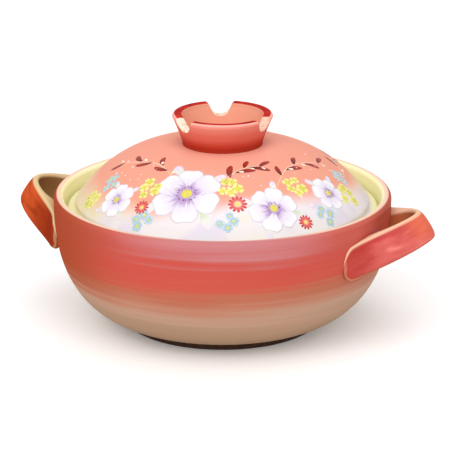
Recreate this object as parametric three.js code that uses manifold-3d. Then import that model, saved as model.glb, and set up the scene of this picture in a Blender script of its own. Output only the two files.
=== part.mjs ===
// A glazed stoneware stew pot: a round bellied pot on a bare foot ring, two strap handles set on its
// wall, and a domed lid that drops into a gallery inside the rim and carries a notched ring knob.
// Millimetres, +Z up, the origin on the table under the middle of the pot, the handles along X.

import * as THREE from "three";
import { mergeVertices } from "three/addons/utils/BufferGeometryUtils.js";
import Module from "manifold-3d";

const wasm = await Module();
wasm.setup();

// Driving dimensions of the pot
const RIM_RADIUS = 110.5;
const RIM_HEIGHT = 87.5;
const RIM_WALL = 6.5;
const BELLY_WALL = 7.5;
const FLOOR_WALL = 9.5;
const BELLY_ROUND = 2.6;
const BELLY_SPREAD = 0.58;
const BOWL_SPREAD = 0.25;

// Driving dimensions of the foot ring
const FOOT_RADIUS = 65.5;
const FOOT_HEIGHT = 5.5;
const FOOT_WIDTH = 10;
const FOOT_TAPER = 0.8;

// Driving dimensions of the gallery that the lid drops into
const GALLERY_DEPTH = 15;
const LEDGE_WIDTH = 7.5;
const LEDGE_EDGE = 3;
const LEDGE_SLOPE = 9;

// Driving dimensions of the lid
const LID_SIDE_CLEARANCE = 2.3;
const FLANGE_THICKNESS = 5.5;
const FLANGE_WIDTH = 5.7;
const FLANGE_ROUND = 1.5;
const SHOULDER_STEP = 4.2;
const DOME_RISE = 37.5;
const DOME_FULLNESS = 3.5;
const DOME_WALL = 5.5;
const LID_TURN_DEG = 22;

// Driving dimensions of the knob
const KNOB_RIM_RADIUS = 33.6;
const KNOB_BASE_RADIUS = 25.8;
const KNOB_HEIGHT = 20.2;
const KNOB_RIM_WALL = 6.5;
const KNOB_BASE_WALL = 6.5;
const KNOB_RIM_ROUND = 1.6;
const KNOB_FLARE_POWER = 1.15;
const NOTCH_COUNT = 3;
const NOTCH_WIDTH = 19;
const NOTCH_DEPTH = 8;
const NOTCH_FIRST_DEG = 90;

// Driving dimensions of a handle, a flat strap bent to a loop that rises outwards and leans inwards
const HANDLE_REACH = 29.6;
const HANDLE_HALF_SPAN = 51;
const HANDLE_RISE_DEG = 22;
const HANDLE_ROOT_HEIGHT = 61;
const LEG_SLOPE = 1.35;
const TIP_BEND = 20;
const STRAP_WIDTH = 21;
const STRAP_ROOT_WIDTH = 22;
const STRAP_THICKNESS = 5.5;
const STRAP_ROUND = 2.2;
const STRAP_LEAN_DEG = 34;
const STRAP_HUG = 0.8;
const HUG_BLEND = 2.5;

// Fits
const SEAT_GAP = 0.3;
const LUTE_GAP = 0.3;

// Colours and roughness of the fired surfaces
const RED_GLAZE = 0xcc5a4d;
const SALMON_GLAZE = 0xefa48e;
const DARK_CLAY = 0x5b3d31;
const GLAZE_ROUGHNESS = 0.25;
const CLAY_ROUGHNESS = 0.85;

// How finely the round forms are faceted
const TURN_FACETS = 48;
const WALL_STEPS = 11;
const BOWL_STEPS = 9;
const DOME_STEPS = 10;
const ROUND_STEPS = 4;
const STRAP_STEPS = 26;
const STRAP_CORNER_STEPS = 3;
const NOTCH_STEPS = 10;
const FOOT_CROWDING = 1.6;
const WELD_DISTANCE = 1e-3;

// Sizes that follow from the driving dimensions
const lipRadius = RIM_WALL / 2;
const wallTop = RIM_HEIGHT - lipRadius;
const mouthRadius = RIM_RADIUS - RIM_WALL;
const floorHeight = FOOT_HEIGHT + FLOOR_WALL;
const ledgeHeight = RIM_HEIGHT - GALLERY_DEPTH;
const ledgeRadius = mouthRadius - LEDGE_WIDTH;
const slopeFoot = ledgeHeight - LEDGE_EDGE - LEDGE_SLOPE;
const lidRadius = mouthRadius - LID_SIDE_CLEARANCE;
const lidUnderside = ledgeHeight + SEAT_GAP;
const flangeTop = lidUnderside + FLANGE_THICKNESS;
const domeRadius = lidRadius - FLANGE_WIDTH;
const domeFoot = flangeTop + SHOULDER_STEP;
const knobFoot = domeHeight(KNOB_BASE_RADIUS) + LUTE_GAP;
const knobTop = knobFoot + KNOB_HEIGHT;
const radians = THREE.MathUtils.degToRad;

// The belly's outer radius at a height: a full quarter-round that stands up into the rim.
function bellyRadius(height) {
  const share = THREE.MathUtils.clamp((height - FOOT_HEIGHT) / (wallTop - FOOT_HEIGHT), 0, 1);
  const fullness = (1 - (1 - share) ** BELLY_ROUND) ** BELLY_SPREAD;
  return FOOT_RADIUS + (RIM_RADIUS - FOOT_RADIUS) * fullness;
}

// The bowl's inner radius at a height above its floor.
function bowlRadius(height) {
  const share = THREE.MathUtils.clamp((height - floorHeight) / (wallTop - floorHeight), 0, 1);
  return (RIM_RADIUS - BELLY_WALL) * (1 - (1 - share) ** BELLY_ROUND) ** BOWL_SPREAD;
}

// The height of a dome at a radius: a broad crown that rolls over into a steep shoulder.
function domeCurve(radius, shoulderRadius, footHeight) {
  return footHeight + DOME_RISE * (1 - (radius / shoulderRadius) ** DOME_FULLNESS);
}

function domeHeight(radius) {
  return domeCurve(radius, domeRadius, domeFoot);
}

function domeUnderside(radius) {
  return domeCurve(radius, domeRadius - DOME_WALL, domeFoot - DOME_WALL);
}

const point = (radius, height) => new THREE.Vector2(radius, height);

// Points at evenly spaced shares from 0 to 1, both ends included.
const sampled = (steps, pointAt) => Array.from({ length: steps + 1 }, (_, i) => pointAt(i / steps));

// A round corner as points, from one angle to another about a centre.
function roundCorner(centreRadius, centreHeight, size, fromDeg, toDeg) {
  return sampled(ROUND_STEPS, (share) => {
    const angle = radians(THREE.MathUtils.lerp(fromDeg, toDeg, share));
    return point(centreRadius + size * Math.cos(angle), centreHeight + size * Math.sin(angle));
  });
}

// A profile of radius and height, turned about Z.
function turned(profile) {
  return new THREE.LatheGeometry(profile, TURN_FACETS).rotateX(Math.PI / 2);
}

// A closed geometry as a solid that can be cut.
function solidOf(geometry) {
  const bare = geometry.clone().deleteAttribute("normal").deleteAttribute("uv");
  const merged = mergeVertices(bare, WELD_DISTANCE);
  const vertProperties = merged.attributes.position.array;
  const triVerts = new Uint32Array(merged.index.array);
  return new wasm.Manifold(new wasm.Mesh({ numProp: 3, vertProperties, triVerts }));
}

// A cut solid back as a geometry.
function geometryOf(solid) {
  const mesh = solid.getMesh();
  const geometry = new THREE.BufferGeometry();
  geometry.setAttribute("position", new THREE.BufferAttribute(mesh.vertProperties, 3));
  geometry.setIndex(new THREE.BufferAttribute(mesh.triVerts, 1));
  geometry.computeVertexNormals();
  return geometry;
}

// The belly's outer line from the foot to the lip, with closer points where it curves most.
function bellyLine(offset) {
  return sampled(WALL_STEPS, (share) => {
    const height = THREE.MathUtils.lerp(FOOT_HEIGHT, wallTop, share ** FOOT_CROWDING);
    return point(bellyRadius(height) + offset, height);
  });
}

// The pot: belly, round lip, gallery with its ledge, and the bowl inside.
function potBody() {
  const bowlLine = sampled(BOWL_STEPS, (share) => {
    const height = THREE.MathUtils.lerp(slopeFoot, floorHeight, 1 - (1 - share) ** 2);
    return point(bowlRadius(height), height);
  });
  return turned([
    point(0, FOOT_HEIGHT),
    ...bellyLine(0),
    ...roundCorner(RIM_RADIUS - lipRadius, wallTop, lipRadius, 0, 180).slice(1),
    point(mouthRadius, ledgeHeight),
    point(ledgeRadius, ledgeHeight),
    point(ledgeRadius, ledgeHeight - LEDGE_EDGE),
    ...bowlLine,
  ]);
}

// The bare ring that the pot stands on, flat above and below.
function footRing() {
  const inner = FOOT_RADIUS - FOOT_WIDTH;
  return turned([
    point(inner, FOOT_HEIGHT),
    point(inner + FOOT_TAPER, 0),
    point(FOOT_RADIUS - FOOT_TAPER, 0),
    point(FOOT_RADIUS, FOOT_HEIGHT),
    point(inner, FOOT_HEIGHT),
  ]);
}

// The middle line of a handle's strap seen from above: straight legs that turn round at the tip, and
// ends that run into a line just off the wall and lie along it.
class StrapLoop extends THREE.Curve {
  constructor(wallRadius, tipDistance) {
    super();
    this.wallRadius = wallRadius;
    this.tipDistance = tipDistance;
  }

  getPoint(share, target = new THREE.Vector3()) {
    const side = HANDLE_HALF_SPAN * (2 * share - 1);
    const legs = this.tipDistance - LEG_SLOPE * (Math.hypot(side, TIP_BEND) - TIP_BEND);
    const wall = Math.sqrt((this.wallRadius + STRAP_HUG) ** 2 - side ** 2);
    return target.set((legs + wall + Math.hypot(legs - wall, 2 * HUG_BLEND)) / 2, side, 0);
  }
}

// The strap's cross-section, a flat bar with round edges.
function strapSection() {
  const half = STRAP_WIDTH / 2;
  const flat = STRAP_THICKNESS / 2;
  const corner = Math.min(STRAP_ROUND, flat);
  const section = new THREE.Shape();
  section.moveTo(half, flat - corner);
  section.absarc(half - corner, flat - corner, corner, 0, Math.PI / 2);
  section.absarc(corner - half, flat - corner, corner, Math.PI / 2, Math.PI);
  section.absarc(corner - half, corner - flat, corner, Math.PI, 1.5 * Math.PI);
  section.absarc(half - corner, corner - flat, corner, 1.5 * Math.PI, 2 * Math.PI);
  return section;
}

// A handle on the +X side, cut to the belly with a thin lute gap. The strap is bent flat, then raised
// outwards, widened towards its ends and leaned inwards towards its tip.
function handle() {
  const climb = Math.tan(radians(HANDLE_RISE_DEG));
  const wallRadius = bellyRadius(HANDLE_ROOT_HEIGHT);
  const loop = new StrapLoop(wallRadius, wallRadius + HANDLE_REACH - STRAP_THICKNESS / 2);
  const rootDistance = loop.getPoint(0).x;
  const strap = new THREE.ExtrudeGeometry(strapSection(), {
    steps: STRAP_STEPS,
    curveSegments: STRAP_CORNER_STEPS,
    extrudePath: loop,
  });
  const position = strap.attributes.position;
  for (let index = 0; index < position.count; index += 1) {
    const towardsEnd = (position.getY(index) / HANDLE_HALF_SPAN) ** 2;
    const lean = radians(STRAP_LEAN_DEG) * (1 - towardsEnd);
    const lift = position.getZ(index) * THREE.MathUtils.lerp(1, STRAP_ROOT_WIDTH / STRAP_WIDTH, towardsEnd);
    const height = HANDLE_ROOT_HEIGHT + (position.getX(index) - rootDistance) * climb;
    position.setX(index, position.getX(index) - lift * Math.sin(lean));
    position.setZ(index, height + lift * Math.cos(lean));
  }
  const clear = 2 * RIM_HEIGHT;
  const pot = turned([
    point(0, FOOT_HEIGHT),
    ...bellyLine(LUTE_GAP),
    point(RIM_RADIUS + LUTE_GAP, clear),
    point(0, clear),
  ]);
  return geometryOf(solidOf(strap).subtract(solidOf(pot)));
}

// The lid: a flat flange with a round edge, a step, and the dome, hollow underneath.
function lidDome() {
  const innerRadius = domeRadius - DOME_WALL;
  const under = sampled(DOME_STEPS, (share) => {
    const radius = innerRadius * Math.sin((share * Math.PI) / 2);
    return point(radius, domeUnderside(radius));
  });
  const over = sampled(DOME_STEPS, (share) => {
    const radius = domeRadius * Math.cos((share * Math.PI) / 2);
    return point(share < 1 ? radius : 0, domeHeight(share < 1 ? radius : 0));
  });
  const edge = lidRadius - FLANGE_ROUND;
  return turned([
    ...under,
    point(innerRadius, lidUnderside),
    ...roundCorner(edge, lidUnderside + FLANGE_ROUND, FLANGE_ROUND, -90, 0),
    ...roundCorner(edge, flangeTop - FLANGE_ROUND, FLANGE_ROUND, 0, 90),
    point(domeRadius, flangeTop),
    ...over,
  ]);
}

// A notch's cutter: a half oval that runs out from the lid's axis through one side of the knob.
function notchCutter(index) {
  const shape = new THREE.Shape();
  shape.absellipse(0, 0, NOTCH_WIDTH / 2, NOTCH_DEPTH, Math.PI, 2 * Math.PI);
  shape.lineTo(NOTCH_WIDTH / 2, NOTCH_DEPTH);
  shape.lineTo(-NOTCH_WIDTH / 2, NOTCH_DEPTH);
  const cutter = new THREE.ExtrudeGeometry(shape, {
    depth: 2 * KNOB_RIM_RADIUS,
    curveSegments: NOTCH_STEPS,
    bevelEnabled: false,
  });
  cutter.rotateX(Math.PI / 2);
  cutter.rotateZ(Math.PI + radians(NOTCH_FIRST_DEG - 90 + (360 / NOTCH_COUNT) * index));
  return solidOf(cutter.translate(0, 0, knobTop));
}

// The knob: a flared ring that stands on the dome, with notches cut down into its rim.
function lidKnob() {
  const innerBase = KNOB_BASE_RADIUS - KNOB_BASE_WALL;
  const innerRim = KNOB_RIM_RADIUS - KNOB_RIM_WALL;
  const shoulder = knobTop - KNOB_RIM_ROUND;
  const flare = (share, base, rim) => base + (rim - base) * share ** KNOB_FLARE_POWER;
  const outside = sampled(ROUND_STEPS, (share) =>
    point(flare(share, KNOB_BASE_RADIUS, KNOB_RIM_RADIUS), THREE.MathUtils.lerp(knobFoot, shoulder, share)),
  );
  const innerFoot = domeHeight(innerBase) + LUTE_GAP;
  const inside = sampled(ROUND_STEPS, (share) =>
    point(flare(1 - share, innerBase, innerRim), THREE.MathUtils.lerp(shoulder, innerFoot, share)),
  );
  const sole = sampled(ROUND_STEPS, (share) => {
    const radius = THREE.MathUtils.lerp(innerBase, KNOB_BASE_RADIUS, share);
    return point(radius, domeHeight(radius) + LUTE_GAP);
  });
  const ring = turned([
    ...outside,
    ...roundCorner(KNOB_RIM_RADIUS - KNOB_RIM_ROUND, shoulder, KNOB_RIM_ROUND, 0, 90).slice(1),
    ...roundCorner(innerRim + KNOB_RIM_ROUND, shoulder, KNOB_RIM_ROUND, 90, 180),
    ...inside.slice(1),
    ...sole.slice(1),
  ]);
  let knob = solidOf(ring);
  for (let index = 0; index < NOTCH_COUNT; index += 1) {
    knob = knob.subtract(notchCutter(index));
  }
  return geometryOf(knob);
}

// A named piece with a fired surface of its own.
function piece(name, geometry, color, roughness = GLAZE_ROUGHNESS) {
  const mesh = new THREE.Mesh(geometry, new THREE.MeshStandardMaterial({ color, roughness, metalness: 0 }));
  mesh.name = name;
  return mesh;
}

const stewPot = new THREE.Group();
const handleShape = handle();
const rightHandle = piece("handle_right", handleShape, RED_GLAZE);
const leftHandle = piece("handle_left", handleShape, RED_GLAZE);
leftHandle.rotation.z = Math.PI;
const lid = new THREE.Group();
lid.add(piece("lid_dome", lidDome(), SALMON_GLAZE), piece("lid_knob", lidKnob(), RED_GLAZE));
lid.rotation.z = radians(LID_TURN_DEG);
const foot = piece("foot_ring", footRing(), DARK_CLAY, CLAY_ROUGHNESS);
stewPot.add(piece("pot_body", potBody(), RED_GLAZE), foot, rightHandle, leftHandle, lid);

export default stewPot;
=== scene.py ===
# %% [markdown]
# # A glazed stew pot, thrown and painted in numpy
# The pot stands on a bare foot, wears a red glaze that fades to beige, and has a domed lid with a
# spray of blossom. Its working solids are already packed as a frame, so every fine surface here is
# worked out in that same frame, in metres, and takes its main sizes from the solids that it covers.

# %% Load the frame
import math

import bpy
import numpy as np
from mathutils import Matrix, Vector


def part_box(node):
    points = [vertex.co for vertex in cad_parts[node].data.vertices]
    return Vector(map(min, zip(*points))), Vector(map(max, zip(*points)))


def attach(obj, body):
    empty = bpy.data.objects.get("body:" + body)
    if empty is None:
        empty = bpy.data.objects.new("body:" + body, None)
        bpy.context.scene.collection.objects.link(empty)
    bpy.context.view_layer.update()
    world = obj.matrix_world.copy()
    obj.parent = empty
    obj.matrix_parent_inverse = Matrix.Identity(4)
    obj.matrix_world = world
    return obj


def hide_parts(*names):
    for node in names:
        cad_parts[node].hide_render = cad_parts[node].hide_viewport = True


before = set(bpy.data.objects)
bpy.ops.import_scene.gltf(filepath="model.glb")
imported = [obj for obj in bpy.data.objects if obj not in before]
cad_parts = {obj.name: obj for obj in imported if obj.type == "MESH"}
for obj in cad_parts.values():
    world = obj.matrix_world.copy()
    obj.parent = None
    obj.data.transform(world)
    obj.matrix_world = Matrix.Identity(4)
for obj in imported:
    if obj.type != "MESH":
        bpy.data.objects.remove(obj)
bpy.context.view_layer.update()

mm = 0.001

# %% [markdown]
# ## One way to make every surface
# A potter has two moves: turning a profile on the wheel, and pulling a strap of clay along a path.
# Both are a grid of points: rows along the profile or path, columns round it. One function can
# therefore make every piece. Its columns always close on themselves, and its rows either close too,
# as on a ring, or run out to a single point at each end, as on a bowl or the end of a strap.

# %% Surfaces from grids
def shown(name, data):
    """An object in the scene, with its mesh, light or camera."""
    thing = bpy.data.objects.new(name, data)
    bpy.context.collection.objects.link(thing)
    return thing


def corners_of(index, wrap_rows):
    """Four point numbers for each cell: along a row first, then up to the next row."""
    if wrap_rows:
        index = np.concatenate((index, index[:, :1]), axis=1)
    beside = np.roll(index, -1, axis=2)
    cells = (index[:, :-1], beside[:, :-1], beside[:, 1:], index[:, 1:])
    return np.stack(cells, -1).reshape(-1, 4)


def surface(name, points, wrap_rows=False, **values):
    """A mesh from points[shape, row, column]: cells become quads, and where the rows don't wrap the
    first and last rows are single points with a fan of triangles. values are stored per point."""
    shapes, rows, columns, _ = points.shape
    inner = slice(None) if wrap_rows else slice(1, -1)
    index = np.arange(shapes * len(range(rows)[inner]) * columns).reshape(shapes, -1, columns)
    faces = corners_of(index, wrap_rows).tolist()
    if not wrap_rows:
        first = index.size + np.arange(shapes)[:, None] + np.zeros(columns, int)
        last = first + shapes
        after = np.roll(index, -1, axis=2)
        faces += np.stack((first, after[:, 0], index[:, 0]), -1).reshape(-1, 3).tolist()
        faces += np.stack((last, index[:, -1], after[:, -1]), -1).reshape(-1, 3).tolist()

    def per_point(grid):
        """Ring points first, then the first tips, then the last tips."""
        ring = grid[:, inner].reshape(-1, *grid.shape[3:])
        return ring if wrap_rows else np.concatenate((ring, grid[:, 0, 0], grid[:, -1, 0]))

    mesh = bpy.data.meshes.new(name)
    mesh.from_pydata(per_point(points).tolist(), [], faces)
    mesh.polygons.foreach_set("use_smooth", np.ones(len(mesh.polygons), bool))
    for key, value in values.items():
        held = mesh.attributes.new(key, "FLOAT", "POINT")
        grid = np.broadcast_to(value, (shapes, rows, columns)).astype(np.float32)
        held.data.foreach_set("value", np.ascontiguousarray(per_point(grid)))
    if signed_volume(mesh) < 0:
        mesh.flip_normals()
    print(f"{name}: {len(mesh.loop_triangles)} triangles, {signed_volume(mesh) / mm**3:.0f} mm3")
    return shown(name, mesh)


def signed_volume(mesh):
    """A sixth of each triangle's triple product, summed: positive when faces point outwards."""
    mesh.calc_loop_triangles()
    places = np.empty(len(mesh.vertices) * 3, np.float32)
    mesh.vertices.foreach_get("co", places)
    numbers = np.empty(len(mesh.loop_triangles) * 3, np.int32)
    mesh.loop_triangles.foreach_get("vertices", numbers)
    a, b, c = places.reshape(-1, 3)[numbers.reshape(-1, 3)].astype(float).transpose(1, 0, 2)
    return float(np.einsum("ij,ij->", a, np.cross(b, c)) / 6)


# %% Points and curves that several pieces share
def points_of(*axes):
    """Points from one array, or one number, for each axis."""
    return np.stack(np.broadcast_arrays(*axes), -1)


def full_turn(count):
    """Evenly spaced angles round a full turn, from 0."""
    return 2 * np.pi * np.arange(count) / count


def bent(start, control, end, t):
    """A line that leans towards a control point: (1 - t)^2 start + 2t (1 - t) control + t^2 end."""
    return (1 - t) ** 2 * start + 2 * t * (1 - t) * control + t**2 * end


def bell(distance, run):
    """A bell curve of a distance: e to the power of -(distance / run)^2."""
    return np.exp(-((distance / run) ** 2))


def run_along(line):
    """The length along a line up to each of its points."""
    return np.r_[0, np.cumsum(np.linalg.norm(np.diff(line, axis=0), axis=1))]


# %% Profiles on the wheel
TURNS = 240
LEAST_STEP = 0.02 * mm


def soft_corners(corners, cuts, steps=6):
    """A line through corners, each rounded: the stretch cut back from a corner on both sides becomes
    a curve that bends towards it (a quadratic, with the corner as its control point)."""
    corners = np.asarray(corners, float)
    cuts = np.asarray(cuts, float)[:, None]
    middle = corners[1:-1]
    start, end = (middle + cuts * way / np.linalg.norm(way, axis=1, keepdims=True)
                  for way in (corners[:-2] - middle, corners[2:] - middle))
    t = np.linspace(0, 1, steps)[None, :, None]
    bends = bent(start[:, None], middle[:, None], end[:, None], t)
    return np.concatenate((corners[:1], bends.reshape(-1, 2), corners[-1:]))


def filled_in(line, step):
    """The same line with points added so that none lie further apart than a step."""
    run = run_along(line)
    dense = np.union1d(run, np.linspace(0, run[-1], 2 + int(run[-1] / step)))
    dense = dense[np.r_[True, np.diff(dense) > LEAST_STEP]]
    return points_of(*(np.interp(dense, run, line[:, k]) for k in (0, 1)))


def turned(name, profile, wrap_rows=False, **values):
    """A profile of radius and height, turned about Z: x and y are the radius times the cosine and
    sine of the angle. values holds one number per profile point."""
    angle = full_turn(TURNS)
    radius, height = profile[:, :1], profile[:, 1:]
    grid = points_of(radius * np.cos(angle), radius * np.sin(angle), height)
    columns = {key: np.asarray(value)[None, :, None] for key, value in values.items()}
    return surface(name, grid[None], wrap_rows, **columns)


# %% [markdown]
# ## The pot
# The belly is a full quarter-round that stands up into the rim. It could be a spline through traced
# points, but one power law for the outside and one for the bowl hold it with a few numbers, and the
# handles can then ask the same law how wide the wall is at any height. Faint throwing rings are left
# in the wall, because a dead-smooth wall reflects like moulded plastic.

# %% Sizes of the pot
RIM_RADIUS, RIM_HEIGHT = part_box("pot_body")[1].x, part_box("pot_body")[1].z
FOOT_RADIUS, FOOT_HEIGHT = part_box("foot_ring")[1].x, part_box("foot_ring")[1].z
LID_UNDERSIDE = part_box("lid_dome")[0].z
RIM_WALL = 6.5 * mm
BELLY_WALL = 7.5 * mm
FLOOR_WALL = 9.5 * mm
SEAT_GAP = 0.3 * mm
LEDGE_WIDTH = 7.5 * mm
LEDGE_EDGE = 3 * mm
LEDGE_SLOPE = 9 * mm
SLOPE_EASE = 4 * mm
GALLERY_CUTS, GALLERY_STEP = (1.8 * mm, 1.2 * mm, 1.2 * mm, 3 * mm), 1.6 * mm
LIP_FADE = 3.2 * mm
THROWING_RING = 0.06 * mm
RING_WAVES = ((0.9 * mm, 0), (0.53 * mm, 1), (2.1 * mm, 0))
BELLY_ROUND = 2.6
BELLY_SPREAD = 0.58
BOWL_SPREAD = 0.25
BELLY_ROWS, BELLY_CROWDING = 120, 1.6
BOWL_ROWS, BOWL_CROWDING = 70, 2.4
LIP_ROWS, SOLE_ROWS = 22, 24
lip_radius = RIM_WALL / 2
wall_top = RIM_HEIGHT - lip_radius
mouth_radius = RIM_RADIUS - RIM_WALL
floor_height = FOOT_HEIGHT + FLOOR_WALL
ledge_height = LID_UNDERSIDE - SEAT_GAP
ledge_radius = mouth_radius - LEDGE_WIDTH


def belly_radius(height):
    """Foot radius plus a share of the flare: (1 - (1 - s)^round)^spread, with s the share of the way
    up the wall."""
    share = np.clip((height - FOOT_HEIGHT) / (wall_top - FOOT_HEIGHT), 0, 1)
    return FOOT_RADIUS + (RIM_RADIUS - FOOT_RADIUS) * (1 - (1 - share) ** BELLY_ROUND) ** BELLY_SPREAD


def bowl_radius(height):
    """Inner radius: the same law with a smaller spread, so that the floor is wide and nearly flat."""
    share = np.clip((height - floor_height) / (wall_top - floor_height), 0, 1)
    return (RIM_RADIUS - BELLY_WALL) * (1 - (1 - share) ** BELLY_ROUND) ** BOWL_SPREAD


print(f"rim {2 * RIM_RADIUS / mm:.0f} mm across at {RIM_HEIGHT / mm:.0f} mm")

# %% Throw the pot
share = np.linspace(0, 1, BELLY_ROWS) ** BELLY_CROWDING
height = FOOT_HEIGHT + share * (wall_top - FOOT_HEIGHT)
rings = sum(np.sin(height / pitch + phase) for pitch, phase in RING_WAVES)
fade = np.sin(np.pi * share) ** 0.5
ring_depth = THROWING_RING * (1 + rings / len(RING_WAVES)) * fade
belly_line = points_of(belly_radius(height) - ring_depth, height)

lip_angle = np.linspace(0, np.pi, LIP_ROWS)[1:-1]
lip_line = points_of(RIM_RADIUS - lip_radius + lip_radius * np.cos(lip_angle),
                     wall_top + lip_radius * np.sin(lip_angle))

slope_foot = ledge_height - LEDGE_EDGE - LEDGE_SLOPE
bowl_top = slope_foot - SLOPE_EASE
gallery_line = soft_corners(
    [(mouth_radius, wall_top), (mouth_radius, ledge_height), (ledge_radius, ledge_height),
     (ledge_radius, ledge_height - LEDGE_EDGE), (bowl_radius(slope_foot), slope_foot),
     (bowl_radius(bowl_top), bowl_top)], GALLERY_CUTS)
gallery_line = filled_in(gallery_line, GALLERY_STEP)
way_down = 1 - np.linspace(1, 0, BOWL_ROWS)[1:] ** BOWL_CROWDING
bowl_height = bowl_top - (bowl_top - floor_height) * way_down
bowl_line = points_of(bowl_radius(bowl_height), bowl_height)
bowl_line[-1, 0] = 0

underside = points_of(np.linspace(0, FOOT_RADIUS, SOLE_ROWS)[:-1], FOOT_HEIGHT)
pot_line = np.concatenate((underside, belly_line, lip_line, gallery_line, bowl_line))
outside_count = len(underside) + len(belly_line)
inside = np.r_[np.zeros(outside_count), np.linspace(0, 1, len(lip_line)),
               np.ones(len(gallery_line) + len(bowl_line))]
crest_distance = np.linalg.norm(pot_line - (RIM_RADIUS - lip_radius, RIM_HEIGHT), axis=1)
pot = turned("pot_body_glazed", pot_line, inside=inside, lip=bell(crest_distance, LIP_FADE))

# %% [markdown]
# ## The foot
# The potter trims the foot last, with a turning tool, and leaves it bare so that it can't stick to
# the kiln shelf. It is a plain ring, but its two lower edges are softened: a sharp clay edge chips.

# %% Trim the foot ring
FOOT_WIDTH = 10 * mm
FOOT_TAPER = 0.8 * mm
FOOT_CUTS, FOOT_STEP = (0.4 * mm, 1.2 * mm, 1.2 * mm, 0.2 * mm), 1 * mm
foot_inner = FOOT_RADIUS - FOOT_WIDTH
half_way = (FOOT_RADIUS - FOOT_WIDTH / 2, FOOT_HEIGHT)
foot_line = soft_corners(
    [half_way, (foot_inner, FOOT_HEIGHT), (foot_inner + FOOT_TAPER, 0),
     (FOOT_RADIUS - FOOT_TAPER, 0), (FOOT_RADIUS, FOOT_HEIGHT), half_way], FOOT_CUTS)
foot = turned("foot_ring_trimmed", filled_in(foot_line, FOOT_STEP)[:-1], wrap_rows=True)

# %% [markdown]
# ## The handles
# Each handle is a flat strap of clay, bent to a loop and pressed onto the soft wall. Its legs run
# straight to a round turn at the tip, its loop rises outwards, and its face leans in at the top, so
# that fingers hook under it. It could be a curve with a bevel, but a section carried along a path in
# numpy can also lie down along the wall at both ends, and close there with the round corners of a
# strap that was pressed on.

# %% Sizes of the handles
STRAP_WIDTH, STRAP_ROOT_WIDTH = 21 * mm, 22 * mm
STRAP_THICKNESS = 5.5 * mm
STRAP_LEAN = math.radians(34)
HANDLE_CLIMB = math.tan(math.radians(22))
HANDLE_ROOT_HEIGHT = 61 * mm
HANDLE_REACH = 29.6 * mm
HALF_SPAN = 51 * mm
LEG_SLOPE = 1.35
TIP_BEND = 20 * mm
STRAP_HUG, HUG_BLEND = 0.8 * mm, 2.5 * mm
EDGE_POWER = 2.7
END_ROUND, END_EDGE = 8 * mm, 2.4 * mm
END_ROUND_POWER, END_EDGE_POWER = 2.6, 2
END_PRESS, PRESS_RUN = 1.3 * mm, 7 * mm
WEDGE, WEDGE_AT, WEDGE_RUN = 12 * mm, 24 * mm, 13 * mm
TIP_TUCK, TUCK_RUN = 1.5 * mm, 18 * mm
ROOT_DEPTH = 2.5 * mm
PATH_POINTS, STRAP_ROWS, STRAP_COLUMNS = 3001, 190, 72
wall_radius = float(belly_radius(HANDLE_ROOT_HEIGHT))
tip_distance = wall_radius + HANDLE_REACH - STRAP_THICKNESS / 2
print(f"straps turn back {tip_distance / mm:.1f} mm out and end {2 * HALF_SPAN / mm:.0f} mm apart")


# %% The strap's section and path
def oval(angle, power):
    """A rounded oval |x|^p + |y|^p = 1, drawn by angle: cosine and sine, each to the power 2/p."""
    return [np.sign(f(angle)) * np.abs(f(angle)) ** (2 / power) for f in (np.cos, np.sin)]


def round_end(distance, length, power):
    """How a round end opens: (1 - (1 - t)^p)^(1/p), with t the share of its length, at most 1."""
    return (1 - (1 - np.clip(distance / length, 0, 1)) ** power) ** (1 / power)


def strap_out(side):
    """Distance out for a place along the pot: legs fall off as tip - slope (sqrt(y^2 + bend^2) - bend),
    and meet a line just off the wall in a soft maximum, (a + b + sqrt((a - b)^2 + 4 blend^2)) / 2."""
    legs = tip_distance - LEG_SLOPE * (np.hypot(side, TIP_BEND) - TIP_BEND)
    wall = np.sqrt((wall_radius + STRAP_HUG) ** 2 - side**2)
    return (legs + wall + np.hypot(legs - wall, 2 * HUG_BLEND)) / 2


def strap_path(rows):
    """Places along the strap, closest together at its ends. Gives the length from the nearer end, the
    path in plan and the unit direction square to it."""
    side = np.linspace(-HALF_SPAN, HALF_SPAN, PATH_POINTS)
    path = points_of(strap_out(side), side)
    run = run_along(path)
    spaced = run[-1] * (1 - np.cos(np.pi * np.linspace(0, 1, rows))) / 2
    path = points_of(*(np.interp(spaced, run, path[:, k]) for k in (0, 1)))
    ahead = np.gradient(path, spaced, axis=0)
    ahead /= np.linalg.norm(ahead, axis=1, keepdims=True)
    return np.minimum(spaced, run[-1] - spaced), path, points_of(ahead[:, 1], -ahead[:, 0])


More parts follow.
